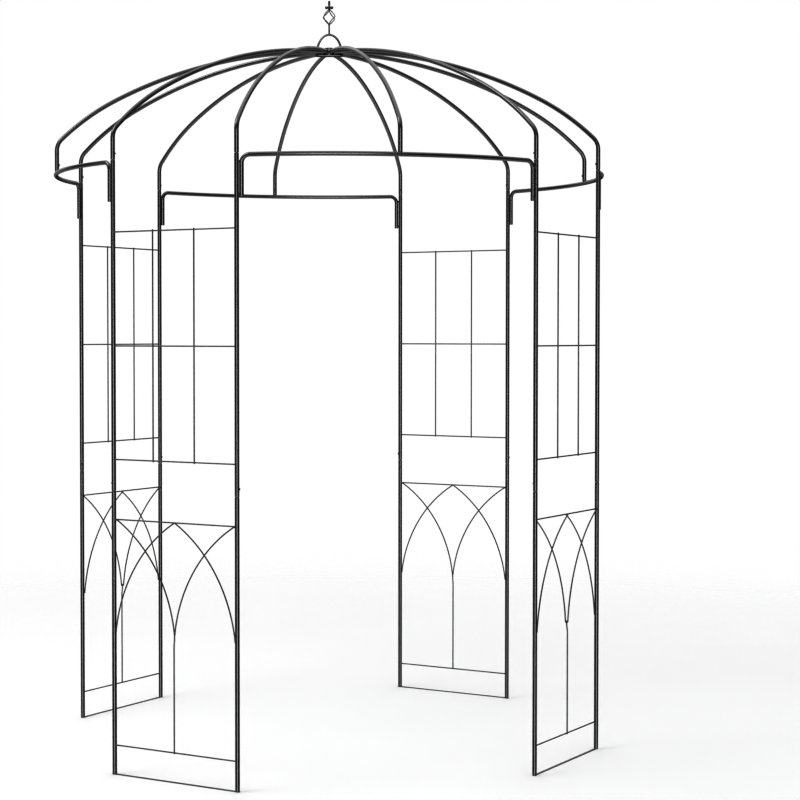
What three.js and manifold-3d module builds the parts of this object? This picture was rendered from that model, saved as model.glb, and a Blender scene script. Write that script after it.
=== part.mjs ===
// A birdcage-shaped walk-through garden gazebo (rose arbour) in black-painted steel.
// Four flat trellis panels stand on a circle with an open doorway between each pair.
// Header bars bridge the doorways, twelve bent ribs form the domed roof, and they meet
// at a hub that carries a small wire finial.
//
// Units are millimetres, +Z is up, and the origin is on the ground at the centre of the plan.
// The front doorway faces -Y, the right one +X, the back one +Y and the left one -X.
// Panels are named fl, fr, br, bl (front-left, front-right, back-right, back-left).
// Post 1 of a panel is its clockwise post and post 2 its counter-clockwise post, seen from above.

import * as THREE from "three";
import { mergeVertices } from "three/addons/utils/BufferGeometryUtils.js";
import Module from "manifold-3d";

const wasm = await Module();
wasm.setup();

// ---------- driving dimensions ----------
const POST_CIRCLE_R = 1072; // circle through the post centres
const PANEL_HALF_ANGLE = 14.526; // degrees from a panel's centre to each of its posts
const GAP = 0.3; // clearance between pieces that touch or are welded

const TUBE_R = 8; // posts and roof ribs, outside radius
const TUBE_BORE = 6.8; // their bore radius
const SWAGE_R = 6.4; // reduced tube end that slides into the next tube
const SWAGE_BORE = 5.2;
const SWAGE_LENGTH = 42;

const HEADER_R = 8; // header tube, outside radius
const HEADER_BORE = 6.8;
const WIRE_R = 2.4; // trellis wires

const BAR_WIDTH = 8; // flat base bar
const BAR_THICK = 3;

const POST_JOINT_Z = 1028; // seam between the lower and upper posts
const POST_SCREW_Z = 1055;
const RIB_JOINT_Z = 2217.5; // seam between the upper posts and the ribs
const RIB_SCREW_Z = 2239;

const LOW_WIRE_Z = 106.9; // lower panel
const ARC_FOOT_Z = 518;
const ARC_TOP_Z = 924.4;
const GRID_Z = [1140.5, 1548.9, 1957.5]; // upper panel, its three cross wires
const ARC_R = 534.2; // gothic arcs, radius of the wire's centreline
const ARC_CENTRE = [-272.95, 465.15]; // across from the arc's top end, and height
const INNER_ARC_START = 3.1; // the inner arcs start this far past the middle
const INNER_ARC_OPEN = 2.8; // and stand this much wider at their feet

const RING_R = 1072; // plan radius of the header bars
const RING_Z = 2209.2; // height of their centreline
const LEG_OFFSET = 17.8; // header leg to post, centre to centre, along the circle
const LEG_BEND = 30; // centreline bend radius at the leg's top
const LEG_END_Z = 2067;
const LUG_Z = [2075.5, 2186]; // welded lugs between leg and post

const RIB_BEND_Z = 2294.4; // top of the rib's straight foot
const RIB_ARCS = [
  [61.3, 45.54], // tight bend: radius, degrees turned
  [937.4, 16.13], // haunch
  [1762, 28.2], // crown, running almost level into the hub
];
const RIB_END_R = 34; // the ribs stop here, short of the axis

const HUB_Z = 2705; // rib centreline at the hub
const HUB_R = 21;
const HUB_TOP_Z = 2722;
const SPIGOT_R = 4.6;
const SPIGOT_END_R = 64;
const PLATE_HALF_LENGTH = 58; // strap under the hub, along the finial hoop
const PLATE_HALF_WIDTH = 18;
const PLATE_Z = [2689.6, 2693.6];

const HOOP_HALF_WIDTH = 48; // finial hoop, half an ellipse
const HOOP_TOP_Z = 2775;
const HOOP_BASE_Z = 2704;
const HOOP_WIRE_R = 4;
const NUT_R = 7; // across corners / 2
const NUT_HEIGHT = 5;
const HOOP_AZIMUTH = -15.237; // its feet pass between two pairs of ribs
const STEM_R = 3;
const BASKET_Z = [2816, 2876];
const BASKET_R = 34.2;
const BASKET_WIRE_R = 1.8;
const BASKET_TWIST = 77.5; // degrees each basket wire turns on its way up
const BASKET_TURN = 52; // direction of the first wire at mid height
const BASKET_LOW_END = 0.91; // under 1 puts the widest place below the middle
const BALL_Z = 2881.6;
const BALL_RING_R = 10.6;
const BALL_R = 6;
const TIP_R = 4;
const TIP_Z = 2908;

const deg = Math.PI / 180;
const PANEL_PLANE = POST_CIRCLE_R * Math.cos(PANEL_HALF_ANGLE * deg); // axis to panel plane
const PANEL_HALF_WIDTH = POST_CIRCLE_R * Math.sin(PANEL_HALF_ANGLE * deg);

// ---------- materials ----------
const paint = () =>
  new THREE.MeshStandardMaterial({ color: 0x1b1b1c, roughness: 0.42, metalness: 0.25 });
const zinc = () =>
  new THREE.MeshStandardMaterial({ color: 0x2a2a2b, roughness: 0.35, metalness: 0.7 });

// ---------- geometry helpers ----------
// A path given by its stations: point i of n is reached at u = i / (n - 1), so the
// sections of an extrusion fall exactly on the stations.
class StationPath extends THREE.Curve {
  constructor(points, tangents) {
    super();
    this.points = points;
    this.tangents = tangents || points.map((p, i) => {
      const a = points[Math.max(0, i - 1)];
      const b = points[Math.min(points.length - 1, i + 1)];
      return b.clone().sub(a).normalize();
    });
  }
  getPoint(t) {
    return this.at(this.points, t);
  }
  getPointAt(u) {
    return this.at(this.points, u);
  }
  getTangent(t) {
    return this.at(this.tangents, t).normalize();
  }
  getTangentAt(u) {
    return this.at(this.tangents, u).normalize();
  }
  at(list, u) {
    const x = Math.min(Math.max(u, 0), 1) * (list.length - 1);
    const i = Math.min(Math.floor(x + 1e-9), list.length - 2);
    return list[i].clone().lerp(list[i + 1], Math.max(0, x - i));
  }
}

const ringPoints = (radius, sides) =>
  Array.from({ length: sides }, (_, i) => {
    const a = Math.PI / 2 + (i * 2 * Math.PI) / sides;
    return new THREE.Vector2(radius * Math.cos(a), radius * Math.sin(a));
  });

// Round bar or tube along a station path.
function sweep(path, radius, bore, sides) {
  const shape = new THREE.Shape(ringPoints(radius, sides));
  if (bore) shape.holes.push(new THREE.Path(ringPoints(bore, sides).reverse()));
  return new THREE.ExtrudeGeometry(shape, {
    steps: path.points.length - 1,
    extrudePath: path,
    bevelEnabled: false,
  });
}

const v3 = (x, y, z) => new THREE.Vector3(x, y, z);
const straight = (a, b, radius, sides = 6) => sweep(new StationPath([a, b]), radius, 0, sides);

// Turned piece about +Z from (radius, height) pairs. A profile that does not start and
// end on the axis is closed on itself.
function turned(profile, sides = 8) {
  const pts = profile.map(([r, z]) => new THREE.Vector2(r, z));
  if (profile[0][0] > 0) pts.push(pts[0].clone());
  const g = new THREE.LatheGeometry(pts, sides);
  g.rotateX(Math.PI / 2);
  return g;
}

function solid(geometry) {
  const bare = new THREE.BufferGeometry().setAttribute(
    "position",
    (geometry.index ? geometry.toNonIndexed() : geometry).getAttribute("position").clone(),
  );
  const m = mergeVertices(bare, 1e-3);
  const idx = m.index.array;
  const keep = [];
  for (let i = 0; i < idx.length; i += 3)
    if (idx[i] !== idx[i + 1] && idx[i + 1] !== idx[i + 2] && idx[i] !== idx[i + 2])
      keep.push(idx[i], idx[i + 1], idx[i + 2]);
  const make = (tri) =>
    new wasm.Manifold(
      new wasm.Mesh({
        numProp: 3,
        vertProperties: m.attributes.position.array,
        triVerts: new Uint32Array(tri),
      }),
    );
  let s = make(keep);
  if (s.volume() < 0) {
    for (let i = 0; i < keep.length; i += 3) [keep[i + 1], keep[i + 2]] = [keep[i + 2], keep[i + 1]];
    s = make(keep);
  }
  return s;
}

const union = (geometries) =>
  geometries.map((g) => (g instanceof THREE.BufferGeometry ? solid(g) : g)).reduce((a, b) => a.add(b));

function geometryOf(s) {
  const m = s.getMesh();
  const n = m.numProp;
  const pos = new Float32Array(m.numVert * 3);
  for (let i = 0; i < m.numVert; i++) pos.set(m.vertProperties.subarray(i * n, i * n + 3), i * 3);
  const g = new THREE.BufferGeometry()
    .setAttribute("position", new THREE.BufferAttribute(pos, 3))
    .setIndex(new THREE.BufferAttribute(new Uint32Array(m.triVerts), 1))
    .toNonIndexed();
  g.computeVertexNormals();
  return g;
}

const root = new THREE.Group();

function add(parent, name, shape, material) {
  const mesh = new THREE.Mesh(
    geometryOf(shape instanceof THREE.BufferGeometry ? solid(shape) : shape),
    material,
  );
  mesh.name = name;
  parent.add(mesh);
  return mesh;
}

// A group turned about +Z, so that its +X points outwards at this azimuth.
function station(azimuth, radius = 0) {
  const g = new THREE.Group();
  g.rotation.z = azimuth * deg;
  g.position.set(radius * Math.cos(azimuth * deg), radius * Math.sin(azimuth * deg), 0);
  root.add(g);
  return g;
}

// ---------- posts ----------
// Hole through one wall of a tube for a tapping screw that enters from local +Y or -Y.
function screwHole(side, z, radius, from, to) {
  return solid(straight(v3(0, side * from, z), v3(0, side * to, z), radius, 8));
}

function lowerPost(side) {
  const foot = BAR_THICK + GAP;
  const top = POST_JOINT_Z;
  const tube = solid(
    turned([
      [TUBE_R, foot],
      [TUBE_R, top - 3],
      [SWAGE_R, top - GAP],
      [SWAGE_R, top + SWAGE_LENGTH],
      [SWAGE_BORE, top + SWAGE_LENGTH],
      [SWAGE_BORE, top - 2],
      [TUBE_BORE, top - 5],
      [TUBE_BORE, foot],
    ]),
  );
  return tube.subtract(screwHole(side, POST_SCREW_Z, 2.5, 3, 8));
}

function upperPost(side) {
  const top = RIB_JOINT_Z;
  const tube = solid(
    turned([
      [TUBE_R, POST_JOINT_Z],
      [TUBE_R, top - 3],
      [SWAGE_R, top - GAP],
      [SWAGE_R, top + SWAGE_LENGTH],
      [SWAGE_BORE, top + SWAGE_LENGTH],
      [SWAGE_BORE, top - 2],
      [TUBE_BORE, top - 5],
      [TUBE_BORE, POST_JOINT_Z],
    ]),
  );
  return tube.subtract(screwHole(side, POST_SCREW_Z, 2.5, 3, 10));
}

// Pan-head tapping screw, axis +Z, underside of the head at z = 0, point towards -Z.
function panScrew() {
  return turned(
    [
      [0, -6.2],
      [1.2, -5.6],
      [2.1, -4.6],
      [2.1, 0],
      [4.6, 0],
      [4.6, 0.8],
      [3.6, 2.1],
      [0, 2.6],
    ],
    8,
  );
}

// ---------- trellis panels, in a frame with X along the panel and Z up ----------
const endX = PANEL_HALF_WIDTH - 4;

// Trims the wires back to the walls of the two posts.
function trimmed(lattice, z0, z1) {
  for (const x of [-PANEL_HALF_WIDTH, PANEL_HALF_WIDTH])
    lattice = lattice.subtract(solid(straight(v3(x, 0, z0), v3(x, 0, z1), TUBE_R + GAP + 0.15, 16)));
  return lattice;
}

function lowerLattice() {
  const wires = [
    straight(v3(-endX, 0, LOW_WIRE_Z), v3(endX, 0, LOW_WIRE_Z), WIRE_R),
    straight(v3(-endX, 0, ARC_TOP_Z), v3(endX, 0, ARC_TOP_Z), WIRE_R),
    straight(v3(0, 0, LOW_WIRE_Z), v3(0, 0, ARC_FOOT_Z + 1), WIRE_R),
  ];
  // Four gothic arcs of one shape: each starts under the top wire and swings out and down
  // by half a panel. The outer two spring from the posts and meet over the upright; the
  // inner two cross at the middle of the top wire and run down to the posts, opened
  // a little towards their feet.
  const arc = (startX, way, open) => {
    const rise = (z) => Math.asin((z - ARC_CENTRE[1]) / ARC_R);
    const a = rise(ARC_TOP_Z - 0.5);
    const b = rise(ARC_FOOT_Z);
    const n = 8;
    const pts = [];
    for (let i = 0; i <= n; i++) {
      const p = a + ((b - a) * i) / n;
      const z = ARC_CENTRE[1] + ARC_R * Math.sin(p);
      const t = (ARC_TOP_Z - z) / (ARC_TOP_Z - ARC_FOOT_Z);
      pts.push(v3(startX + way * (ARC_CENTRE[0] + ARC_R * Math.cos(p) + open * t ** 3), 0, z));
    }
    return sweep(new StationPath(pts), WIRE_R, 0, 6);
  };
  const side = PANEL_HALF_WIDTH - TUBE_R;
  wires.push(arc(-side, 1, 0), arc(side, -1, 0));
  wires.push(arc(-INNER_ARC_START, 1, INNER_ARC_OPEN), arc(INNER_ARC_START, -1, INNER_ARC_OPEN));
  return trimmed(union(wires), LOW_WIRE_Z - 20, ARC_TOP_Z + 20);
}

function upperLattice() {
  const wires = GRID_Z.map((z) => straight(v3(-endX, 0, z), v3(endX, 0, z), WIRE_R));
  for (const x of [-PANEL_HALF_WIDTH / 3, PANEL_HALF_WIDTH / 3])
    wires.push(straight(v3(x, 0, GRID_Z[0] - 3), v3(x, 0, GRID_Z[2] + 3), WIRE_R));
  return trimmed(union(wires), GRID_Z[0] - 20, GRID_Z[2] + 20);
}

function baseBar() {
  const g = new THREE.BoxGeometry(2 * (PANEL_HALF_WIDTH + TUBE_R), BAR_WIDTH, BAR_THICK);
  g.translate(0, 0, BAR_THICK / 2);
  return g;
}

// ---------- header bar over a doorway, its middle on +X ----------
function headerBar() {
  const half = (45 - PANEL_HALF_ANGLE) * deg - LEG_OFFSET / RING_R; // azimuth of a leg
  const pts = [];
  const tan = [];
  const put = (angle, z, along, up) => {
    pts.push(v3(RING_R * Math.cos(angle), RING_R * Math.sin(angle), z));
    tan.push(v3(-Math.sin(angle) * along, Math.cos(angle) * along, up).normalize());
  };
  const bend = 3;
  put(-half, LEG_END_Z, 0, 1);
  for (let i = 0; i <= bend; i++) {
    const t = (i / bend) * 90 * deg;
    put(-half + (LEG_BEND * (1 - Math.cos(t))) / RING_R, RING_Z - LEG_BEND + LEG_BEND * Math.sin(t), Math.sin(t), Math.cos(t));
  }
  const arcHalf = half - LEG_BEND / RING_R;
  const n = 8;
  for (let i = 1; i < n; i++) put(-arcHalf + (2 * arcHalf * i) / n, RING_Z, 1, 0);
  for (let i = bend; i >= 0; i--) {
    const t = (i / bend) * 90 * deg;
    put(half - (LEG_BEND * (1 - Math.cos(t))) / RING_R, RING_Z - LEG_BEND + LEG_BEND * Math.sin(t), Math.sin(t), -Math.cos(t));
  }
  put(half, LEG_END_Z, 0, -1);
  let s = solid(sweep(new StationPath(pts, tan), HEADER_R, HEADER_BORE, 8));

  // Stub on top of the middle, over which the middle rib slides.
  s = s.add(
    solid(turned([[0, RING_Z + HEADER_BORE + 0.3], [SWAGE_R, RING_Z + HEADER_BORE + 0.3], [SWAGE_R, RIB_JOINT_Z + SWAGE_LENGTH - 2], [0, RIB_JOINT_Z + SWAGE_LENGTH - 2]])).translate([POST_CIRCLE_R, 0, 0]),
  );
  // Short lugs that bridge from the legs to the posts.
  for (const side of [-1, 1]) {
    const post = side * (45 - PANEL_HALF_ANGLE) * deg;
    const leg = side * half;
    const p = v3(POST_CIRCLE_R * Math.cos(post), POST_CIRCLE_R * Math.sin(post), 0);
    const l = v3(RING_R * Math.cos(leg), RING_R * Math.sin(leg), 0);
    const dir = p.clone().sub(l);
    const length = dir.length();
    dir.normalize();
    for (const z of LUG_Z) {
      const a = l.clone().addScaledVector(dir, HEADER_R - 1.8).setZ(z);
      const b = l.clone().addScaledVector(dir, length - TUBE_R - GAP).setZ(z);
      s = s.add(solid(straight(a, b, 4, 6)));
    }
  }
  return s;
}

// ---------- roof rib, in the plane through +X and the axis ----------
function ribStations() {
  const pts = [v3(POST_CIRCLE_R, 0, RIB_JOINT_Z), v3(POST_CIRCLE_R, 0, RIB_BEND_Z)];
  const tan = [v3(0, 0, 1), v3(0, 0, 1)];
  const steps = [4, 2, 5];
  let x = POST_CIRCLE_R;
  let z = RIB_BEND_Z;
  let t = 0;
  RIB_ARCS.forEach(([radius, turn], k) => {
    const cx = x - radius * Math.cos(t);
    const cz = z - radius * Math.sin(t);
    let end = t + turn * deg;
    if (k === 2) end = Math.acos((RIB_END_R - cx) / radius); // crown stops at the hub
    for (let i = 1; i <= steps[k]; i++) {
      const a = t + ((end - t) * i) / steps[k];
      pts.push(v3(cx + radius * Math.cos(a), 0, cz + radius * Math.sin(a)));
      tan.push(v3(-Math.sin(a), 0, Math.cos(a)));
    }
    const last = pts[pts.length - 1];
    x = last.x;
    z = last.z;
    t = end;
  });
  return new StationPath(pts, tan);
}

// ---------- hub ----------
function hubCore() {
  let s = solid(turned([[0, PLATE_Z[1] + GAP], [HUB_R, PLATE_Z[1] + GAP], [HUB_R, HUB_TOP_Z - 2], [HUB_R - 2, HUB_TOP_Z], [0, HUB_TOP_Z]], 24));
  for (const a of ribAzimuths()) {
    const c = Math.cos(a * deg);
    const d = Math.sin(a * deg);
    s = s.add(solid(straight(v3(12 * c, 12 * d, HUB_Z), v3(SPIGOT_END_R * c, SPIGOT_END_R * d, HUB_Z - 1), SPIGOT_R, 6)));
  }
  return s;
}

function ribAzimuths() {
  const list = [];
  for (const a of [0, 90, 180, -90]) list.push(a);
  for (const a of [-135, -45, 45, 135]) list.push(a - PANEL_HALF_ANGLE, a + PANEL_HALF_ANGLE);
  return list;
}

// ---------- finial ----------
function hoop() {
  const pts = [v3(-HOOP_HALF_WIDTH, 0, PLATE_Z[1] + GAP)];
  const tan = [v3(0, 0, 1)];
  const n = 12;
  for (let i = 0; i <= n; i++) {
    const a = Math.PI - (Math.PI * i) / n;
    const b = HOOP_TOP_Z - HOOP_BASE_Z;
    pts.push(v3(HOOP_HALF_WIDTH * Math.cos(a), 0, HOOP_BASE_Z + b * Math.sin(a)));
    tan.push(v3(HOOP_HALF_WIDTH * Math.sin(a), 0, -b * Math.cos(a)).normalize());
  }
  pts.push(v3(HOOP_HALF_WIDTH, 0, PLATE_Z[1] + GAP));
  tan.push(v3(0, 0, -1));
  return sweep(new StationPath(pts, tan), HOOP_WIRE_R, 0, 8);
}

function basket() {
  const [z0, z1] = BASKET_Z;
  const parts = [
    turned([[0, HOOP_TOP_Z + HOOP_WIRE_R + GAP], [STEM_R, HOOP_TOP_Z + HOOP_WIRE_R + GAP], [STEM_R, z0 - 3], [STEM_R + 1.2, z0], [STEM_R, z0 + 3], [0, z0 + 4]], 8),
    turned([[0, z1 - 4], [STEM_R, z1 - 3], [STEM_R + 1.2, z1 - 1], [STEM_R + 1.2, z1], [0, z1]], 8),
  ];
  for (let k = 0; k < 4; k++) {
    const pts = [];
    for (const t of [0, 0.15, 0.31, 0.43, 0.5, 0.61, 0.8, 1]) {
      const a = (k * 90 + BASKET_TURN + BASKET_TWIST * (t - 0.5)) * deg;
      const bulge = Math.min(1 - Math.abs(2 * t ** BASKET_LOW_END - 1), 0.95);
      const r = 1.5 + (BASKET_R - BASKET_WIRE_R - 1.5) * bulge;
      pts.push(v3(r * Math.cos(a), r * Math.sin(a), z0 + (z1 - z0 - 1) * t));
    }
    parts.push(sweep(new StationPath(pts), BASKET_WIRE_R, 0, 6));
  }
  return union(parts);
}

function tip() {
  const low = BASKET_Z[1] + GAP;
  const parts = [
    turned([[0, low], [3.6, low], [6.4, BALL_Z - 3], [6.4, BALL_Z + 3], [TIP_R, BALL_Z + 4.5], [TIP_R, TIP_Z - 2], [TIP_R - 1.6, TIP_Z], [0, TIP_Z]], 8),
  ];
  for (let k = 0; k < 4; k++) {
    const a = (k * 90 + HOOP_AZIMUTH) * deg;
    const ball = new THREE.SphereGeometry(BALL_R, 8, 6);
    ball.translate(BALL_RING_R * Math.cos(a), BALL_RING_R * Math.sin(a), BALL_Z);
    parts.push(ball);
  }
  return union(parts);
}

function hubPlate() {
  const shape = new THREE.Shape();
  const r = PLATE_HALF_WIDTH;
  const straightEnd = PLATE_HALF_LENGTH - r;
  shape.moveTo(-straightEnd, -r);
  shape.lineTo(straightEnd, -r);
  shape.absarc(straightEnd, 0, r, -Math.PI / 2, Math.PI / 2, false);
  shape.lineTo(-straightEnd, r);
  shape.absarc(-straightEnd, 0, r, Math.PI / 2, (3 * Math.PI) / 2, false);
  const plate = new THREE.ExtrudeGeometry(shape, { depth: PLATE_Z[1] - PLATE_Z[0], bevelEnabled: false, curveSegments: 8 });
  plate.translate(0, 0, PLATE_Z[0]);
  return plate;
}

// Nut on top of the strap, round the foot of the hoop.
function hexNut(side) {
  const shape = new THREE.Shape(ringPoints(NUT_R, 6).map((p) => new THREE.Vector2(p.y, p.x)).reverse());
  shape.holes.push(new THREE.Path(ringPoints(HOOP_WIRE_R + GAP, 8).reverse()));
  const nut = new THREE.ExtrudeGeometry(shape, { depth: NUT_HEIGHT, bevelEnabled: false });
  nut.translate(side * HOOP_HALF_WIDTH, 0, PLATE_Z[1] + GAP);
  return nut;
}

// ---------- assembly ----------
const PANELS = { fl: -135, fr: -45, br: 45, bl: 135 };
for (const [name, azimuth] of Object.entries(PANELS)) {
  for (const [number, side] of [[1, -1], [2, 1]]) {
    const post = station(azimuth + side * PANEL_HALF_ANGLE, POST_CIRCLE_R);
    add(post, `lower_post_${name}_${number}`, lowerPost(side), paint());
    add(post, `upper_post_${name}_${number}`, upperPost(side), paint());
    const screw = add(post, `joint_screw_${name}_${number}`, panScrew(), zinc());
    screw.rotation.x = (-side * Math.PI) / 2;
    screw.position.set(0, side * (TUBE_R + GAP), POST_SCREW_Z);
    const rib = station(azimuth + side * PANEL_HALF_ANGLE);
    add(rib, `roof_rib_${name}_${number}`, sweep(ribStations(), TUBE_R, TUBE_BORE, 8), paint());
  }
  const panel = station(azimuth - 90);
  panel.position.set(PANEL_PLANE * Math.cos(azimuth * deg), PANEL_PLANE * Math.sin(azimuth * deg), 0);
  add(panel, `lower_lattice_${name}`, lowerLattice(), paint());
  add(panel, `upper_lattice_${name}`, upperLattice(), paint());
  add(panel, `base_bar_${name}`, baseBar(), paint());
}

const DOORWAYS = { front: -90, right: 0, back: 90, left: 180 };
for (const [name, azimuth] of Object.entries(DOORWAYS)) {
  const door = station(azimuth);
  add(door, `header_bar_${name}`, headerBar(), paint());
  add(door, `roof_rib_${name}`, sweep(ribStations(), TUBE_R, TUBE_BORE, 8), paint());
}

const hub = new THREE.Group();
root.add(hub);
add(hub, "hub_core", hubCore(), paint());
const finial = station(HOOP_AZIMUTH);
add(finial, "hub_plate", hubPlate(), paint());
add(finial, "finial_hoop", hoop(), paint());
add(finial, "finial_basket", basket(), paint());
add(hub, "finial_tip", tip(), paint());
add(finial, "finial_nut_1", hexNut(1), zinc());
add(finial, "finial_nut_2", hexNut(-1), zinc());

root.updateMatrixWorld(true);
export default root;
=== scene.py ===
import math

import bpy
import numpy as np
from mathutils import Matrix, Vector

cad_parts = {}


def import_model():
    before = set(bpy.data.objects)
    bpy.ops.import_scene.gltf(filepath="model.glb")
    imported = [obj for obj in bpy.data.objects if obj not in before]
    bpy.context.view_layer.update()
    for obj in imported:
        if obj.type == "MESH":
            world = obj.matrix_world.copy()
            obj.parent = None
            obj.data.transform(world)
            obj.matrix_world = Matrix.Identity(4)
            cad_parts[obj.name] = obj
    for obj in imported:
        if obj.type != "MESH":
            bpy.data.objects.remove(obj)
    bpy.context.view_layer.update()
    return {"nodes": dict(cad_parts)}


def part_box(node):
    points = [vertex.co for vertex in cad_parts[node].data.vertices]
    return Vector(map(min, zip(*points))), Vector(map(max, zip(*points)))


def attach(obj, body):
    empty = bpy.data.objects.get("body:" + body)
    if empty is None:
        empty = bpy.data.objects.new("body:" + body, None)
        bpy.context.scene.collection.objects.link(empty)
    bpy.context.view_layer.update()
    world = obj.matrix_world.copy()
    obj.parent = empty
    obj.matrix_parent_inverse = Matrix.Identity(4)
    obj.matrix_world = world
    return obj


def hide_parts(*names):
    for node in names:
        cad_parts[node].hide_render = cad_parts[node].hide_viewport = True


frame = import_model()
NODES = frame["nodes"]

MM = 0.001
DEG = math.pi / 180
RNG = np.random.default_rng(7)

# ---------------------------------------------------------------- dimensions (mm)
TUBE_R = 8.0
TUBE_BORE = 6.8
SWAGE_R = 6.4
SWAGE_LENGTH = 42.0
HEADER_R = 8.0
HEADER_BORE = 6.8
WIRE_R = 2.4
BAR_WIDTH = 8.0
BAR_THICK = 3.0

POST_SCREW_Z = 1055.0
RIB_SCREW_Z = 2239.0
LOW_WIRE_Z = 106.9
ARC_FOOT_Z = 518.0
ARC_TOP_Z = 924.4
GRID_Z = (1140.5, 1548.9, 1957.5)
ARC_R = 534.2
ARC_CENTRE = (-272.95, 465.15)
INNER_ARC_START = 3.1
INNER_ARC_OPEN = 2.8

RING_R = 1072.0
RING_Z = 2209.2
LEG_OFFSET = 17.8
LEG_BEND = 30.0
LEG_END_Z = 2067.0
LUG_Z = (2075.5, 2186.0)

RIB_BEND_Z = 2294.4
RIB_ARCS = ((61.3, 45.54), (937.4, 16.13), (1762.0, None))
RIB_END_R = 34.0

HUB_Z = 2705.0
HUB_R = 21.0
HUB_TOP_Z = 2722.0
SPIGOT_R = 4.6
SPIGOT_END_R = 64.0
PLATE_HALF_LENGTH = 58.0
PLATE_HALF_WIDTH = 18.0
PLATE_Z = (2689.6, 2693.6)

HOOP_HALF_WIDTH = 48.0
HOOP_TOP_Z = 2775.0
HOOP_BASE_Z = 2704.0
HOOP_WIRE_R = 4.0
HOOP_AZIMUTH = -15.237
STEM_R = 3.0
BASKET_Z = (2816.0, 2876.0)
BASKET_R = 34.2
BASKET_WIRE_R = 1.8
BASKET_TWIST = 77.5
BASKET_TURN = 52.0
BASKET_LOW_END = 0.91
BALL_Z = 2881.6
BALL_RING_R = 10.6
BALL_R = 6.0
NUT_R = 7.0
NUT_HEIGHT = 5.0
TIP_R = 4.0
TIP_Z = 2908.0

PANELS = {"fl": -135.0, "fr": -45.0, "br": 45.0, "bl": 135.0}
DOORWAYS = {"front": -90.0, "right": 0.0, "back": 90.0, "left": 180.0}


def box_mm(node):
    lo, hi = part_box(node)
    return np.array(lo) / MM, np.array(hi) / MM


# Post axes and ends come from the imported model.
post_axis, post_low, post_joint, rib_joint = {}, {}, {}, {}
for p in PANELS:
    for n in (1, 2):
        lo, hi = box_mm(f"lower_post_{p}_{n}")
        post_axis[p, n] = (lo[:2] + hi[:2]) / 2
        post_low[p, n] = lo[2]
        lo, hi = box_mm(f"upper_post_{p}_{n}")
        post_joint[p, n] = lo[2]
        rib_joint[p, n] = hi[2] - SWAGE_LENGTH
POST_CIRCLE_R = float(np.mean([np.hypot(*a) for a in post_axis.values()]))
POST_JOINT_Z = float(np.mean(list(post_joint.values())))
RIB_JOINT_Z = float(np.mean(list(rib_joint.values())))
PANEL_HALF_WIDTH = float(np.linalg.norm(post_axis["fl", 1] - post_axis["fl", 2]) / 2)
PANEL_HALF_ANGLE = math.asin(PANEL_HALF_WIDTH / POST_CIRCLE_R) / DEG
PANEL_PLANE = POST_CIRCLE_R * math.cos(PANEL_HALF_ANGLE * DEG)


# ---------------------------------------------------------------- mesh building
def unit(v):
    v = np.asarray(v, float)
    return v / np.linalg.norm(v)


class Shape:
    """Verts in millimetres, faces, and a wear value for each vertex."""

    def __init__(self):
        self.v, self.f, self.w = [], [], []

    def add(self, verts, faces, wear=0.0):
        base = len(self.v)
        self.v.extend(map(tuple, verts))
        self.f.extend([tuple(base + i for i in face) for face in faces])
        if np.isscalar(wear):
            wear = [wear] * len(verts)
        self.w.extend(wear)
        return self

    def moved(self, origin=(0, 0, 0), azimuth=0.0):
        """A copy turned about Z and then shifted."""
        s = Shape()
        c, d = math.cos(azimuth * DEG), math.sin(azimuth * DEG)
        v = np.array(self.v)
        x = v[:, 0] * c - v[:, 1] * d + origin[0]
        y = v[:, 0] * d + v[:, 1] * c + origin[1]
        s.v = list(map(tuple, np.stack([x, y, v[:, 2] + origin[2]], 1)))
        s.f, s.w = list(self.f), list(self.w)
        return s

    def placed(self, origin, ex, ey, ez):
        """A copy whose own axes become ex, ey and ez."""
        s = Shape()
        v = np.array(self.v) @ np.array([ex, ey, ez]) + np.array(origin, float)
        s.v, s.f, s.w = list(map(tuple, v)), list(self.f), list(self.w)
        return s

    def join(self, other):
        return self.add(other.v, other.f, other.w)


def frames(pts, tans=None, up=None):
    """Tangent and two section axes at each point, carried along without twist."""
    pts = np.asarray(pts, float)
    if tans is None:
        tans = np.gradient(pts, axis=0)
    tans = tans / np.linalg.norm(tans, axis=1)[:, None]
    first = np.array(up if up is not None else (0.0, 0.0, 1.0), float)
    if abs(first @ tans[0]) > 0.95:
        first = np.array((1.0, 0.0, 0.0))
    n = unit(first - (first @ tans[0]) * tans[0])
    ns = [n]
    for t in tans[1:]:
        n = unit(n - (n @ t) * t)
        ns.append(n)
    ns = np.array(ns)
    return tans, ns, np.cross(tans, ns)


def sweep(shape, pts, radii, sides, tans=None, up=None, wear=0.0, flat=None, caps=(True, True), rough=0.0):
    """Rings of vertices along pts; radii may step. flat scales each ring along its first axis."""
    pts = np.asarray(pts, float)
    n = len(pts)
    radii = np.broadcast_to(np.asarray(radii, float), (n,))
    flat = np.ones(n) if flat is None else np.asarray(flat, float)
    t, a, b = frames(pts, tans, up)
    ang = np.arange(sides) * 2 * math.pi / sides
    verts = []
    for i in range(n):
        r = radii[i] + (RNG.normal(0, rough, sides) if rough else 0.0)
        verts.append(
            pts[i]
            + (np.cos(ang) * r * flat[i])[:, None] * a[i]
            + (np.sin(ang) * r)[:, None] * b[i]
        )
    verts = np.concatenate(verts)
    faces = []
    for i in range(n - 1):
        for j in range(sides):
            k = (j + 1) % sides
            faces.append((i * sides + j, i * sides + k, (i + 1) * sides + k, (i + 1) * sides + j))
    if caps[0]:
        faces.append(tuple(range(sides))[::-1])
    if caps[1]:
        faces.append(tuple((n - 1) * sides + j for j in range(sides)))
    w = wear if np.isscalar(wear) else np.repeat(np.asarray(wear, float), sides)
    if np.isscalar(w):
        w = [w] * len(verts)
    return shape.add(verts, faces, list(w))


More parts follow.
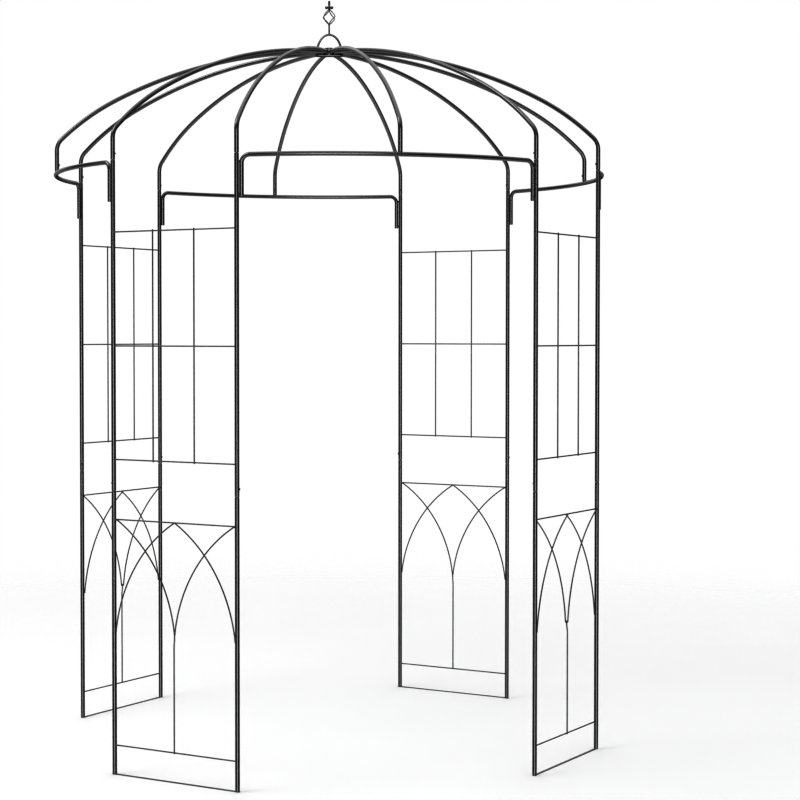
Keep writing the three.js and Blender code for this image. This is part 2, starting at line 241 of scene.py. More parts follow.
def lathe(shape, profile, sides, centre=(0, 0, 0), wear=0.0, ripple=0.0):
    """Turned surface about Z from (radius, height); radius 0 becomes one vertex."""
    verts, rings = [], []
    ang = np.arange(sides) * 2 * math.pi / sides
    wears = []
    for i, (r, z) in enumerate(profile):
        wv = wear if np.isscalar(wear) else wear[i]
        if r <= 1e-9:
            rings.append([len(verts)])
            verts.append((centre[0], centre[1], centre[2] + z))
            wears.append(wv)
        else:
            rr = r + (RNG.normal(0, ripple, sides) if ripple else 0.0)
            rings.append(list(range(len(verts), len(verts) + sides)))
            for x, y in zip(np.cos(ang) * rr, np.sin(ang) * rr):
                verts.append((centre[0] + x, centre[1] + y, centre[2] + z))
                wears.append(wv)
    faces = []
    for lo, hi in zip(rings[:-1], rings[1:]):
        if len(lo) == 1 and len(hi) == 1:
            continue
        for j in range(sides):
            k = (j + 1) % sides
            if len(lo) == 1:
                faces.append((lo[0], hi[k], hi[j]))
            elif len(hi) == 1:
                faces.append((lo[j], lo[k], hi[0]))
            else:
                faces.append((lo[j], lo[k], hi[k], hi[j]))
    return shape.add(verts, faces, wears)


def object_of(name, shape, material, replaced=(), sharp=38.0):
    mesh = bpy.data.meshes.new(name)
    mesh.from_pydata([tuple(c * MM for c in v) for v in shape.v], [], shape.f)
    mesh.validate()
    mesh.polygons.foreach_set("use_smooth", [True] * len(mesh.polygons))
    wear = mesh.attributes.new("wear", "FLOAT", "POINT")
    wear.data.foreach_set("value", np.asarray(shape.w, np.float32))
    mesh.set_sharp_from_angle(angle=sharp * DEG)
    mesh.update()
    obj = bpy.data.objects.new(name, mesh)
    bpy.context.scene.collection.objects.link(obj)
    mesh.materials.append(material)
    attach(obj, "root")
    if replaced:
        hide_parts(*replaced)
    return obj


# ---------------------------------------------------------------- materials
def node_tree(name):
    m = bpy.data.materials.new(name)
    m.use_nodes = True
    nt = m.node_tree
    for n in list(nt.nodes):
        nt.nodes.remove(n)
    return m, nt


def paint_material(name, dark, light, rough, peel, wear_tone, seed, metal=0.0):
    """Black powder coat: orange-peel bump, cloudy roughness, dust, and worn edges."""
    m, nt = node_tree(name)
    N, L = nt.nodes, nt.links
    out = N.new("ShaderNodeOutputMaterial")
    bsdf = N.new("ShaderNodeBsdfPrincipled")
    L.new(bsdf.outputs["BSDF"], out.inputs["Surface"])
    bsdf.inputs["IOR"].default_value = 1.9
    bsdf.inputs["Coat Weight"].default_value = 1.0
    bsdf.inputs["Coat IOR"].default_value = 1.7
    bsdf.inputs["Coat Roughness"].default_value = 0.22
    coord = N.new("ShaderNodeTexCoord")
    shift = N.new("ShaderNodeMapping")
    shift.inputs["Location"].default_value = (seed * 1.7, seed * -0.9, seed * 0.6)
    L.new(coord.outputs["Object"], shift.inputs["Vector"])

    def noise(scale, detail=3.0, roughness=0.55, stretch=None):
        n = N.new("ShaderNodeTexNoise")
        n.inputs["Scale"].default_value = scale
        n.inputs["Detail"].default_value = detail
        n.inputs["Roughness"].default_value = roughness
        if stretch:
            mp = N.new("ShaderNodeMapping")
            mp.inputs["Scale"].default_value = stretch
            L.new(shift.outputs["Vector"], mp.inputs["Vector"])
            L.new(mp.outputs["Vector"], n.inputs["Vector"])
        else:
            L.new(shift.outputs["Vector"], n.inputs["Vector"])
        return n

    def ramp(src, stops):
        r = N.new("ShaderNodeValToRGB")
        el = r.color_ramp.elements
        while len(el) > 1:
            el.remove(el[-1])
        el[0].position, c = stops[0]
        el[0].color = (*c, 1) if not np.isscalar(c) else (c, c, c, 1)
        for pos, c in stops[1:]:
            e = el.new(pos)
            e.color = (*c, 1) if not np.isscalar(c) else (c, c, c, 1)
        L.new(src, r.inputs["Fac"])
        return r

    clouds = noise(9.0, 4.0)
    flow = noise(70.0, 3.0, stretch=(1, 1, 0.2))
    base = N.new("ShaderNodeMix")
    base.data_type = "RGBA"
    base.inputs[6].default_value = (*dark, 1)
    base.inputs[7].default_value = (*light, 1)
    mixed = N.new("ShaderNodeMath")
    mixed.operation = "MULTIPLY_ADD"
    L.new(clouds.outputs["Fac"], mixed.inputs[0])
    mixed.inputs[1].default_value = 0.6
    scaled = N.new("ShaderNodeMath")
    scaled.operation = "MULTIPLY"
    L.new(flow.outputs["Fac"], scaled.inputs[0])
    scaled.inputs[1].default_value = 0.4
    L.new(scaled.outputs[0], mixed.inputs[2])
    blend = ramp(mixed.outputs[0], [(0.36, 0.0), (0.66, 1.0)])
    L.new(blend.outputs["Color"], base.inputs[0])

    # Fine dust specks lift the colour a little.
    specks = noise(900.0, 2.0, 0.7)
    speck_mask = ramp(specks.outputs["Fac"], [(0.62, 0.0), (0.72, 1.0)])
    dusty = N.new("ShaderNodeMix")
    dusty.data_type = "RGBA"
    dusty.inputs[7].default_value = (light[0] * 2.3, light[1] * 2.3, light[2] * 2.25, 1)
    speck_amount = N.new("ShaderNodeMath")
    speck_amount.operation = "MULTIPLY"
    speck_amount.inputs[1].default_value = 0.35
    L.new(speck_mask.outputs["Color"], speck_amount.inputs[0])
    L.new(speck_amount.outputs[0], dusty.inputs[0])
    L.new(base.outputs[2], dusty.inputs[6])

    # Wear: where a part's edge is marked, and the noise allows it, the coat is rubbed.
    mark = N.new("ShaderNodeAttribute")
    mark.attribute_name = "wear"
    chips = noise(330.0, 5.0, 0.68)
    sum_ = N.new("ShaderNodeMath")
    sum_.operation = "MULTIPLY_ADD"
    L.new(mark.outputs["Fac"], sum_.inputs[0])
    sum_.inputs[1].default_value = 0.34
    L.new(chips.outputs["Fac"], sum_.inputs[2])
    worn = ramp(sum_.outputs[0], [(0.70, 0.0), (0.80, 1.0)])
    worn_colour = N.new("ShaderNodeMix")
    worn_colour.data_type = "RGBA"
    worn_colour.inputs[7].default_value = (*wear_tone, 1)
    L.new(worn.outputs["Color"], worn_colour.inputs[0])
    L.new(dusty.outputs[2], worn_colour.inputs[6])
    L.new(worn_colour.outputs[2], bsdf.inputs["Base Color"])

    # Roughness varies in clouds and along the tube, and is a little higher where worn.
    smooth = noise(26.0, 4.0, 0.6)
    r0 = N.new("ShaderNodeMapRange")
    r0.inputs["From Min"].default_value = 0.3
    r0.inputs["From Max"].default_value = 0.7
    r0.inputs["To Min"].default_value = rough[0]
    r0.inputs["To Max"].default_value = rough[1]
    L.new(smooth.outputs["Fac"], r0.inputs["Value"])
    r1 = N.new("ShaderNodeMath")
    r1.operation = "MULTIPLY_ADD"
    L.new(worn.outputs["Color"], r1.inputs[0])
    r1.inputs[1].default_value = 0.14
    L.new(r0.outputs["Result"], r1.inputs[2])
    L.new(r1.outputs[0], bsdf.inputs["Roughness"])
    if metal:
        bsdf.inputs["Metallic"].default_value = metal

    # Orange peel, with a finer grain over it; the chips sit a little lower.
    peel_noise = noise(420.0, 2.0, 0.5)
    grain = noise(2400.0, 2.0, 0.5)
    b1 = N.new("ShaderNodeBump")
    b1.inputs["Strength"].default_value = peel
    b1.inputs["Distance"].default_value = 0.00008
    L.new(peel_noise.outputs["Fac"], b1.inputs["Height"])
    b2 = N.new("ShaderNodeBump")
    b2.inputs["Strength"].default_value = peel * 0.6
    b2.inputs["Distance"].default_value = 0.00002
    L.new(grain.outputs["Fac"], b2.inputs["Height"])
    L.new(b1.outputs["Normal"], b2.inputs["Normal"])
    b3 = N.new("ShaderNodeBump")
    b3.invert = True
    b3.inputs["Strength"].default_value = 0.5
    b3.inputs["Distance"].default_value = 0.00005
    L.new(worn.outputs["Color"], b3.inputs["Height"])
    L.new(b2.outputs["Normal"], b3.inputs["Normal"])
    L.new(b3.outputs["Normal"], bsdf.inputs["Normal"])
    return m


FRAME_PAINT = paint_material(
    "black_powder_coat", (0.008, 0.008, 0.0085), (0.017, 0.017, 0.0175), (0.27, 0.38), 0.25, (0.11, 0.105, 0.10), 1.0
)
WIRE_PAINT = paint_material(
    "black_wire_coat", (0.007, 0.007, 0.0073), (0.014, 0.014, 0.0145), (0.32, 0.44), 0.28, (0.09, 0.086, 0.082), 2.0
)
FASTENER = paint_material(
    "blackened_screw", (0.014, 0.014, 0.015), (0.034, 0.034, 0.035), (0.26, 0.38), 0.35, (0.20, 0.195, 0.19), 3.0, metal=0.55
)

# ---------------------------------------------------------------- shared details
SIDES = 32


def edge(r, z, way, size=0.35, steps=3):
    """Rounded corner of a tube's outer wall at height z, running towards the end (way +1 up, -1 down)."""
    return [
        (r - size + size * math.cos(a), z - way * size + way * size * math.sin(a))
        for a in np.linspace(0, math.pi / 2, steps + 1)
    ]


def weld_collar(shape, base, direction, r_wire, r_foot, height, sides=14):
    """Lumpy fillet where a wire or lug runs into a wall; base on the wall, direction outwards."""
    d = unit(direction)
    hs = np.array([-1.2, 0.0, 0.16, 0.4, 0.7, 1.0])
    rs = np.array([r_foot, r_foot, r_foot * 0.86 + r_wire * 0.14, r_foot * 0.4 + r_wire * 0.6, r_wire * 1.12, r_wire * 0.96])
    hs = np.where(hs > 0, hs * height, hs)
    pts = [np.array(base, float) + d * h for h in hs]
    sweep(shape, pts, rs, sides, tans=np.array([d] * len(pts)), wear=[0.2, 0.4, 0.5, 0.5, 0.35, 0.2], rough=0.13)


def nugget(shape, centre, axis, long, wide, sides=12):
    """Small squeezed-out bead at a crossing of two wires."""
    t = unit(axis)
    u = np.linspace(-1, 1, 7)
    r = wide * np.sqrt(np.clip(1 - u**2, 0, 1)) + 0.04
    pts = [np.array(centre, float) + t * long * x for x in u]
    sweep(shape, pts, r, sides, tans=np.array([t] * 7), wear=0.4, rough=0.08)


def screw_head(r_head=4.6, height=2.6):
    """Pan head with a cross recess, washer face at z = 0 and shank below."""
    s = Shape()
    sides, rings = 64, 18
    verts, wear = [], []
    for i in range(rings + 1):
        rr = r_head * 0.86 * i / rings
        for j in range(sides):
            a = j * 2 * math.pi / sides
            x, y = rr * math.cos(a), rr * math.sin(a)
            dome = height - 0.62 * (rr / r_head) ** 2
            along, across = max(abs(x), abs(y)), min(abs(x), abs(y))
            blade = np.clip((0.62 + 0.10 * (1 - along / r_head) - across) / 0.22, 0, 1) * np.clip((2.35 - along) / 0.5, 0, 1)
            heart = np.clip((1.15 - rr) / 0.4, 0, 1)
            depth = 1.35 * max(blade, heart) * (1 - 0.35 * min(along / 2.4, 1))
            verts.append((x, y, dome - depth))
            wear.append(0.8 if 0.02 < depth < 0.9 else 0.35)
    faces = [tuple(range(sides))[::-1]] if False else []
    for i in range(rings):
        for j in range(sides):
            k = (j + 1) % sides
            faces.append((i * sides + j, (i + 1) * sides + j, (i + 1) * sides + k, i * sides + k))
    s.add(verts, faces, wear)
    rim0 = rings * sides
    # close the centre: ring 0 is a single point repeated, merged on validation
    z_rim = height - 0.62 * 0.86**2
    prof = [(r_head * 0.94, z_rim - 0.28), (r_head * 0.985, z_rim - 0.7), (r_head, z_rim - 1.15), (r_head, 0.25), (r_head - 0.15, 0.0), (2.1, 0.0), (2.1, -5.0), (1.2, -6.0), (0.0, -6.4)]
    ring_start = []
    for r, z in prof[:-1]:
        ring_start.append(len(s.v))
        for j in range(sides):
            a = j * 2 * math.pi / sides
            s.v.append((r * math.cos(a), r * math.sin(a), z))
            s.w.append(0.45)
    tip = len(s.v)
    s.v.append((0, 0, prof[-1][1]))
    s.w.append(0.2)
    prev = rim0
    for st in ring_start:
        for j in range(sides):
            k = (j + 1) % sides
            s.f.append((prev + j, st + j, st + k, prev + k))
        prev = st
    for j in range(sides):
        k = (j + 1) % sides
        s.f.append((prev + j, tip, prev + k))
    # merge the repeated centre vertices
    s.f = [tuple(0 if i < sides else i for i in f) for f in s.f]
    clean = []
    for f in s.f:
        g = []
        for i in f:
            if i not in g:
                g.append(i)
        if len(g) >= 3:
            clean.append(tuple(g))
    s.f = clean
    used = sorted({i for f in s.f for i in f})
    remap = {o: n for n, o in enumerate(used)}
    s.v = [s.v[i] for i in used]
    s.w = [s.w[i] for i in used]
    s.f = [tuple(remap[i] for i in f) for f in s.f]
    return s


HEAD = screw_head()


def screw_at(name, origin, outwards, replaced=(), turn=0.0):
    ez = unit(outwards)
    up = np.array((0.0, 0.0, 1.0)) if abs(ez[2]) < 0.9 else np.array((1.0, 0.0, 0.0))
    ey = unit(up - (up @ ez) * ez)
    ex = np.cross(ey, ez)
    c, d = math.cos(turn), math.sin(turn)
    ex, ey = ex * c + ey * d, ey * c - ex * d
    return object_of(name, HEAD.placed(origin, ex, ey, ez), FASTENER, replaced, sharp=50)


# ---------------------------------------------------------------- posts
def lower_post(axis, foot, top, inward):
    """Tube with its open foot on the bar, and a swaged top that enters the next tube."""
    s = Shape()
    prof = [(TUBE_BORE - 0.1, foot + 46), (TUBE_BORE, foot + 45), (TUBE_BORE, foot + 0.3), (TUBE_BORE + 0.3, foot)]
    prof += edge(TUBE_R, foot, -1)[::-1]
    prof += [(TUBE_R, foot + 1.0), (TUBE_R, top - 60), (TUBE_R, top - 4.2), (TUBE_R - 0.12, top - 3.2), (TUBE_R - 0.5, top - 2.2), (TUBE_R - 1.1, top - 1.2), (SWAGE_R + 0.1, top - 0.4), (SWAGE_R, top + 0.6), (SWAGE_R, top + SWAGE_LENGTH - 0.4), (SWAGE_R - 0.4, top + SWAGE_LENGTH), (0, top + SWAGE_LENGTH)]
    wear = [0, 0, 0.3, 0.7] + [0.8] * 4 + [0.5, 0.0, 0.15, 0.5, 0.6, 0.4, 0.1, 0, 0, 0, 0]
    prof = [(0, foot + 46)] + prof
    wear = [0] + wear
    lathe(s, prof, SIDES, (*axis, 0), wear)
    return s


def upper_post(axis, low, top):
    s = Shape()
    prof = [(0, low + SWAGE_LENGTH + 6), (TUBE_BORE, low + SWAGE_LENGTH + 6), (TUBE_BORE, low + 0.25), (TUBE_BORE + 0.25, low)]
    prof += edge(TUBE_R, low, -1)[::-1]
    prof += [(TUBE_R, low + 1.2), (TUBE_R, low + 60), (TUBE_R, top - 4.2), (TUBE_R - 0.12, top - 3.2), (TUBE_R - 0.5, top - 2.2), (TUBE_R - 1.1, top - 1.2), (SWAGE_R + 0.1, top - 0.4), (SWAGE_R, top + 0.6), (SWAGE_R, top + SWAGE_LENGTH - 0.4), (SWAGE_R - 0.4, top + SWAGE_LENGTH), (0, top + SWAGE_LENGTH)]
    wear = [0, 0, 0.3, 0.9] + [0.95] * 4 + [0.6, 0.0, 0.0, 0.4, 0.6, 0.4, 0.1, 0, 0, 0, 0]
    lathe(s, prof, SIDES, (*axis, 0), wear)
    return s


for p, az in PANELS.items():
    for n, side in ((1, -1), (2, 1)):
        axis = post_axis[p, n]
        a = math.atan2(axis[1], axis[0])
        tangent = np.array((-math.sin(a), math.cos(a), 0.0))  # counter-clockwise
        to_panel = -side * tangent
        foot = BAR_THICK + 0.02
        object_of(
            f"post_lower_{p}_{n}",
            lower_post(axis, foot, POST_JOINT_Z - 0.3, to_panel),
            FRAME_PAINT,
            (f"lower_post_{p}_{n}",),
        )
        object_of(
            f"post_upper_{p}_{n}",
            upper_post(axis, POST_JOINT_Z, RIB_JOINT_Z - 0.3),
            FRAME_PAINT,
            (f"upper_post_{p}_{n}",),
        )
        out = side * tangent
        screw_at(
            f"screw_mid_{p}_{n}",
            np.array((*axis, POST_SCREW_Z)) + out * (TUBE_R + 0.02),
            out,
            (f"joint_screw_{p}_{n}",),
            turn=float(RNG.uniform(0, math.pi / 2)),
        )

# ---------------------------------------------------------------- trellis panels
END_X = PANEL_HALF_WIDTH - TUBE_R + 0.6
VERTICAL_LIFT = 3.4  # uprights and arcs lie on the outer side of the cross wires, set into them


def wire(shape, pts, tans=None, sides=14, up=(0, 1, 0)):
    """Round wire with softly rounded cut ends."""
    pts = np.asarray(pts, float)
    t = np.gradient(pts, axis=0) if tans is None else np.asarray(tans, float)
    t = t / np.linalg.norm(t, axis=1)[:, None]
    a, b = pts[0], pts[-1]
    lead = [a - t[0] * 0.45, a - t[0] * 0.3, a]
    tail = [b, b + t[-1] * 0.3, b + t[-1] * 0.45]
    full = np.array(lead + list(pts[1:-1]) + tail)
    ft = np.array([t[0]] * 3 + list(t[1:-1]) + [t[-1]] * 3)
    r = np.full(len(full), WIRE_R)
    r[0] = r[-1] = WIRE_R - 0.5
    r[1] = r[-2] = WIRE_R - 0.12
    w = np.zeros(len(full))
    w[:2] = w[-2:] = 0.7
    sweep(shape, full, r, sides, tans=ft, up=up, wear=w)


def post_welds(shape, zs, lift=0.0):
    for z in zs:
        for side in (-1, 1):
            x = side * (PANEL_HALF_WIDTH - math.sqrt(TUBE_R**2 - lift**2))
            weld_collar(shape, (x, lift, z), (-side, 0, 0), WIRE_R, WIRE_R + 1.3, 2.9)


def lower_lattice():
    s = Shape()
    for z in (LOW_WIRE_Z, ARC_TOP_Z):
        wire(s, [(-END_X, 0, z), (0, 0, z), (END_X, 0, z)])
    wire(s, [(0, VERTICAL_LIFT, LOW_WIRE_Z - 3), (0, VERTICAL_LIFT, ARC_FOOT_Z - 30), (0, 0.3, ARC_FOOT_Z - 8), (0, 0, ARC_FOOT_Z + 9)])
    nugget(s, (0, VERTICAL_LIFT * 0.5, LOW_WIRE_Z), (1, 0, 0), 4.0, 2.2)
    nugget(s, (0, VERTICAL_LIFT * 0.5, LOW_WIRE_Z), (0, 0, 1), 3.8, 2.2)
    side_x = PANEL_HALF_WIDTH - TUBE_R

    def across(z, opened):
        """How far an arc has swung out from its top end at height z."""
        t = (ARC_TOP_Z - z) / (ARC_TOP_Z - ARC_FOOT_Z)
        return ARC_CENTRE[0] + math.sqrt(ARC_R**2 - (z - ARC_CENTRE[1]) ** 2) + opened * t**3

    def arc(start, way, z_from, z_to, opened, lift):
        pa = math.asin((z_from - ARC_CENTRE[1]) / ARC_R)
        pb = math.asin((z_to - ARC_CENTRE[1]) / ARC_R)
        zs = ARC_CENTRE[1] + ARC_R * np.sin(np.linspace(pa, pb, 44))
        pts = np.array([(start + way * across(z, opened), lift, z) for z in zs])
        wire(s, pts)

    # The outer pair springs from the posts, the inner pair crosses at the top wire's middle.
    lo = ARC_FOOT_Z + 4
    arc(-side_x, 1, ARC_TOP_Z - 1, lo, 0.0, VERTICAL_LIFT)
    arc(side_x, -1, ARC_TOP_Z - 1, lo, 0.0, -VERTICAL_LIFT)
    arc(-INNER_ARC_START, 1, ARC_TOP_Z - 1, ARC_FOOT_Z, INNER_ARC_OPEN, VERTICAL_LIFT)
    arc(INNER_ARC_START, -1, ARC_TOP_Z - 1, ARC_FOOT_Z, INNER_ARC_OPEN, -VERTICAL_LIFT)
    for way, lift in ((1, VERTICAL_LIFT), (-1, -VERTICAL_LIFT)):
        nugget(s, (-way * (INNER_ARC_START - 1.5), lift * 0.5, ARC_TOP_Z - 1.2), (1, 0, 0), 4.0, 2.0)
        # the outer arcs end on the upright, one on each side of it
        nugget(s, (-way * 1.9, lift * 0.8, lo + 3.0), (0, 0, 1), 7.0, 1.9)
        # the inner arcs' feet are tacked to the posts
        weld_x = way * (side_x - 0.4)
        nugget(s, (weld_x, lift * 0.75, ARC_FOOT_Z + 5.5), (0, 0, 1), 7.5, 2.2)
        nugget(s, (weld_x - way * 0.9, lift * 0.9, ARC_FOOT_Z + 4.0), (0, 0, 1), 5.0, 1.9)
        # the outer arcs leave the posts just under the top wire
        weld_collar(s, (-way * (side_x - 0.3), lift, ARC_TOP_Z - 2.0), (way, 0, -0.9), WIRE_R, 3.1, 3.0)
    # where an outer and an inner arc pass each other
    a, b = ARC_FOOT_Z, ARC_TOP_Z
    for _ in range(50):
        m = (a + b) / 2
        if side_x - across(m, 0.0) < across(m, INNER_ARC_OPEN) - INNER_ARC_START:
            a = m
        else:
            b = m
    cross_x = side_x - across(a, 0.0)
    for side in (-1, 1):
        nugget(s, (side * cross_x, 0, a), (0, 1, 0), 3.2, 1.6)
    post_welds(s, (LOW_WIRE_Z, ARC_TOP_Z))
    return s


def upper_lattice():
    s = Shape()
    for z in GRID_Z:
        wire(s, [(-END_X, 0, z), (0, 0, z), (END_X, 0, z)])
    for x in (-PANEL_HALF_WIDTH / 3, PANEL_HALF_WIDTH / 3):
        wire(s, [(x, VERTICAL_LIFT, GRID_Z[0] - 4), (x, VERTICAL_LIFT, GRID_Z[2] + 4)])
        for z in GRID_Z:
            nugget(s, (x, VERTICAL_LIFT * 0.5, z), (1, 0, 0), 4.0, 2.2)
            nugget(s, (x, VERTICAL_LIFT * 0.5, z), (0, 0, 1), 3.8, 2.2)
    post_welds(s, GRID_Z)
    return s


def base_bar():
    """Flat bar with rounded edges, and the fillets that hold the two posts on it."""
    s = Shape()
    half, hw, t, r = PANEL_HALF_WIDTH + TUBE_R, BAR_WIDTH / 2, BAR_THICK, 0.7
    corners = []
    for cy, cz, a0 in ((hw - r, t - r, 0), (-hw + r, t - r, 90), (-hw + r, r, 180), (hw - r, r, 270)):
        for a in np.linspace(a0, a0 + 90, 4):
            corners.append((cy + r * math.cos(a * DEG), cz + r * math.sin(a * DEG)))
    k = len(corners)
    xs = [-half, -half + 0.35, half - 0.35, half]
    shrink = [0.35, 0.0, 0.0, 0.35]
    verts, wear = [], []
    for x, sh in zip(xs, shrink):
        for y, z in corners:
            yy = y - math.copysign(min(sh, abs(y)), y)
            zz = z + (sh if z < t / 2 else -sh)
            verts.append((x, yy, zz))
            wear.append(0.85 if sh else 0.35)
    faces = []
    for i in range(3):
        for j in range(k):
            m = (j + 1) % k
            faces.append((i * k + j, i * k + m, (i + 1) * k + m, (i + 1) * k + j))
    faces = [f[::-1] for f in faces]
    faces.append(tuple(range(k)))
    faces.append(tuple(3 * k + j for j in range(k))[::-1])
    s.add(verts, faces, wear)
    for side in (-1, 1):
        c = side * PANEL_HALF_WIDTH
        reach = math.asin((hw - 0.7) / (TUBE_R + 0.6))
        ph = np.linspace(-reach, reach, 15)
        pts = np.stack([c - side * (TUBE_R + 0.3) * np.cos(ph), (TUBE_R + 0.3) * np.sin(ph), np.full(15, t + 0.2)], 1)
        rad = 1.55 + 0.25 * np.sin(np.arange(15) * 1.9) + RNG.normal(0, 0.08, 15)
        rad[0] = rad[-1] = 0.7
        sweep(s, pts, rad, 12, wear=0.35, up=(0, 0, 1))
    return s


LOWER, UPPER, BAR = lower_lattice(), upper_lattice(), base_bar()
for p, az in PANELS.items():
    origin = (PANEL_PLANE * math.cos(az * DEG), PANEL_PLANE * math.sin(az * DEG), 0)
    for what, shape, mat, slot, node in (
        ("trellis_lower", LOWER, WIRE_PAINT, "wire_paint", "lower_lattice"),
        ("trellis_upper", UPPER, WIRE_PAINT, "wire_paint", "upper_lattice"),
        ("foot_bar", BAR, FRAME_PAINT, "frame_paint", "base_bar"),
    ):
        object_of(f"{what}_{p}", shape.moved(origin, az - 90), mat, (f"{node}_{p}",))


# ---------------------------------------------------------------- header bars
def header_bar():
    s = Shape()
    half = (45 - PANEL_HALF_ANGLE) * DEG - LEG_OFFSET / RING_R
    bend_n, arc_n = 14, 46
    pts, tan, flat, wear = [], [], [], []

    def put(angle, z, along, up, f=1.0, w=0.0):
        pts.append((RING_R * math.cos(angle), RING_R * math.sin(angle), z))
        tan.append(unit((-math.sin(angle) * along, math.cos(angle) * along, up)))
        flat.append(f)
        wear.append(w)

    def elbow(sign, i):
        t = i / bend_n * 90 * DEG
        ang = half - LEG_BEND * (1 - math.cos(t)) / RING_R
        z = RING_Z - LEG_BEND + LEG_BEND * math.sin(t)
        squeeze = 1 - 0.07 * math.sin(2 * t) ** 2 if 0 < i < bend_n else 1.0
        if sign < 0:
            put(-ang, z, math.sin(t), math.cos(t), squeeze, 0.12)
        else:
            put(ang, z, math.sin(t), -math.cos(t), squeeze, 0.12)

    start = LEG_END_Z
    put(-half, start, 0, 1, 1, 0.8)
    put(-half, start + 0.15, 0, 1, 1, 0.8)
    put(-half, start + 0.5, 0, 1, 1, 0.8)
    put(-half, start + 3, 0, 1)
    for i in range(bend_n + 1):
        elbow(-1, i)
    arc_half = half - LEG_BEND / RING_R
    for i in range(1, arc_n):
        put(-arc_half + 2 * arc_half * i / arc_n, RING_Z, 1, 0)
    for i in range(bend_n, -1, -1):
        elbow(1, i)
    put(half, start + 3, 0, -1)
    put(half, start + 0.5, 0, -1, 1, 0.8)
    put(half, start + 0.15, 0, -1, 1, 0.8)
    put(half, start, 0, -1, 1, 0.8)
    radii = np.full(len(pts), HEADER_R)
    radii[[0, -1]] = HEADER_R - 0.35
    radii[[1, -2]] = HEADER_R - 0.12
    # The first section axis is kept in the plane of the bend by starting from the tangent of the circle.
    first = (math.sin(half), math.cos(half), 0.0)
    sweep(s, pts, radii, 28, tans=np.array(tan), up=first, wear=wear, flat=flat, caps=(False, False))
    n = len(pts)
    # Bores at the two open leg ends.
    for side, rows in ((-1, 0), (1, n - 1)):
        c = np.array(pts[rows])
        d = np.array((0, 0, 1.0))
        depth = [0.0, 0.0, 0.4, 30.0]
        rad = [HEADER_R - 0.35, HEADER_BORE + 0.25, HEADER_BORE, HEADER_BORE]
        bore = Shape()
        sweep(bore, [c + d * z for z in depth], rad, 28, tans=np.array([d] * 4), up=first, caps=(False, True), wear=[0.8, 0.8, 0.2, 0])
        bore.f = [f[::-1] for f in bore.f]
        s.join(bore)

    # Stub and its weld under the middle rib.
    top = RIB_JOINT_Z + SWAGE_LENGTH - 2
    lathe(s, [(0, RING_Z), (SWAGE_R, RING_Z), (SWAGE_R, top - 0.4), (SWAGE_R - 0.4, top), (0, top)], 24, (POST_CIRCLE_R, 0, 0))
    collar = [(TUBE_R - 0.6, RING_Z + 4.3), (TUBE_R - 0.5, RING_Z + 5.6), (TUBE_R - 0.7, RING_Z + 6.8), (TUBE_R - 1.0, RING_Z + 7.8), (SWAGE_R, RING_Z + 8.2)]
    lathe(s, [(0, RING_Z + 2.8)] + collar + [(0, RING_Z + 7.4)], 28, (POST_CIRCLE_R, 0, 0), 0.4, ripple=0.09)

    # Lugs from the legs to the posts, each with fillets at both ends.
    for side in (-1, 1):
        post = side * (45 - PANEL_HALF_ANGLE) * DEG
        leg = side * half
        pp = np.array((POST_CIRCLE_R * math.cos(post), POST_CIRCLE_R * math.sin(post), 0))
        ll = np.array((RING_R * math.cos(leg), RING_R * math.sin(leg), 0))
        d = unit(pp - ll)
        length = float(np.linalg.norm(pp - ll))
        for z in LUG_Z:
            a = ll + d * (HEADER_R - 1.5)
            b = ll + d * (length - TUBE_R + 0.5)
            a[2] = b[2] = z
            m = (a + b) / 2
            sweep(s, [a, a + (m - a) * 0.5, m, b + (m - b) * 0.5, b], [4.4, 3.8, 3.5, 3.8, 4.4], 20, wear=0.3, rough=0.06)
    return s


HEADER = header_bar()
for name, az in DOORWAYS.items():
    object_of(f"header_{name}", HEADER.moved((0, 0, 0), az), FRAME_PAINT, (f"header_bar_{name}",), sharp=45)


